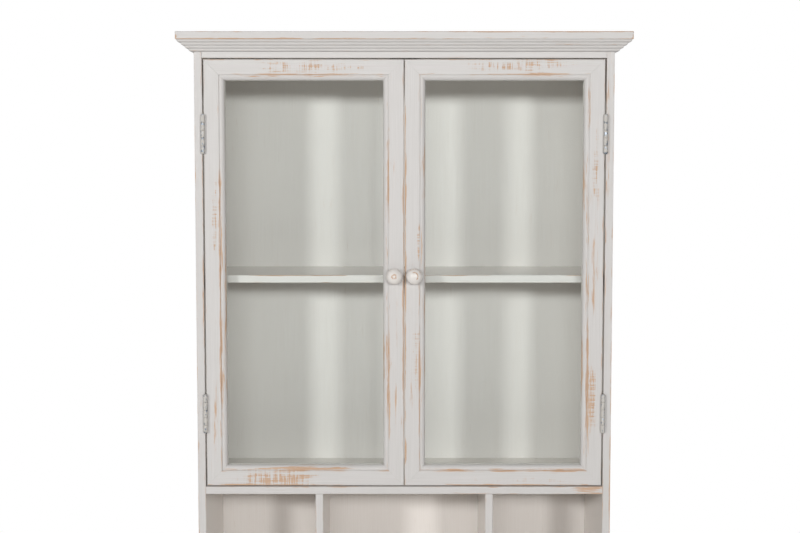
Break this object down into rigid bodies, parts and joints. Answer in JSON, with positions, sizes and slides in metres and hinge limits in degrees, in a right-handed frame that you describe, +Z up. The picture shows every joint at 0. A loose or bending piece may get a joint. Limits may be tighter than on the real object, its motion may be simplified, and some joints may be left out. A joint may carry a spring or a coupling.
{
  "type": "apothecary cabinet",
  "caption": "Free-standing painted wooden cabinet with hinged glazed doors over a shelf, open pigeonholes and small sliding drawers.",
  "frame": {"origin": "on the floor, under the middle of the overall box", "axes": "+Z up along the cabinet's height, +Y from the doors to the back along its depth, +X to the right of someone who faces the doors"},
  "size_m": [0.7, 0.25, 1.061],
  "materials": {
    "paint": "brushed off-white paint, worn through to wood at the edges",
    "inside_paint": "matt off-white paint",
    "bare_wood": "bare lime-coloured softwood",
    "glass": "clear, faintly green",
    "zinc": "zinc-plated steel with paint brushed over it",
    "steel": "bright zinc-plated screws",
    "catch_plastic": "satin"
  },
  "bodies": {
    "carcass": {"side_panel_left": "paint", "side_panel_right": "paint", "bottom_board": "paint", "pigeonhole_floor": "paint", "sill_board": "paint", "top_board": "paint", "plinth_front": "paint", "back_panel": "inside_paint", "drawer_divider_left": "paint", "pigeonhole_divider_left": "paint", "drawer_divider_right": "paint", "pigeonhole_divider_right": "paint", "shelf": "paint", "shelf_cleat_left": "inside_paint", "shelf_cleat_right": "inside_paint", "cornice_front": "paint", "cornice_left": "paint", "cornice_right": "paint", "top_cap": "paint", "magnetic_catch": "catch_plastic", "hinge_left_lower_cabinet_leaf": "zinc", "hinge_left_lower_pin": "zinc", "hinge_left_upper_cabinet_leaf": "zinc", "hinge_left_upper_pin": "zinc", "hinge_right_lower_cabinet_leaf": "zinc", "hinge_right_lower_pin": "zinc", "hinge_right_upper_cabinet_leaf": "zinc", "hinge_right_upper_pin": "zinc"},
    "door_left": {"door_left_hinge_stile": "paint", "door_left_meeting_stile": "paint", "door_left_top_rail": "paint", "door_left_bottom_rail": "paint", "door_left_glass": "glass", "door_left_glazing_bead": "paint", "door_left_knob": "paint", "door_left_knob_screw": "steel", "door_left_strike_plate": "zinc", "hinge_left_lower_door_leaf": "zinc", "hinge_left_upper_door_leaf": "zinc"},
    "door_right": {"door_right_hinge_stile": "paint", "door_right_meeting_stile": "paint", "door_right_top_rail": "paint", "door_right_bottom_rail": "paint", "door_right_glass": "glass", "door_right_glazing_bead": "paint", "door_right_knob": "paint", "door_right_knob_screw": "steel", "door_right_strike_plate": "zinc", "hinge_right_lower_door_leaf": "zinc", "hinge_right_upper_door_leaf": "zinc"},
    "drawer_left": {"drawer_left_front": "paint", "drawer_left_tray": "bare_wood", "drawer_left_knob": "paint"},
    "drawer_middle": {"drawer_middle_front": "paint", "drawer_middle_tray": "bare_wood", "drawer_middle_knob": "paint"},
    "drawer_right": {"drawer_right_front": "paint", "drawer_right_tray": "bare_wood", "drawer_right_knob": "paint"}
  },
  "joints": [
    {"name": "door_left_hinge", "type": "hinge", "parent": "carcass", "child": "door_left", "pos_m": [-0.31175, -0.1037, 0.6865], "axis": [0, 0, -1], "range_deg": [0, 170]},
    {"name": "door_right_hinge", "type": "hinge", "parent": "carcass", "child": "door_right", "pos_m": [0.31175, -0.1037, 0.6865], "axis": [0, 0, 1], "range_deg": [0, 170]},
    {"name": "drawer_left_slide", "type": "slide", "parent": "carcass", "child": "drawer_left", "axis": [0, -1, 0], "range_m": [0, 0.15]},
    {"name": "drawer_middle_slide", "type": "slide", "parent": "carcass", "child": "drawer_middle", "axis": [0, -1, 0], "range_m": [0, 0.15]},
    {"name": "drawer_right_slide", "type": "slide", "parent": "carcass", "child": "drawer_right", "axis": [0, -1, 0], "range_m": [0, 0.15]}
  ]
}
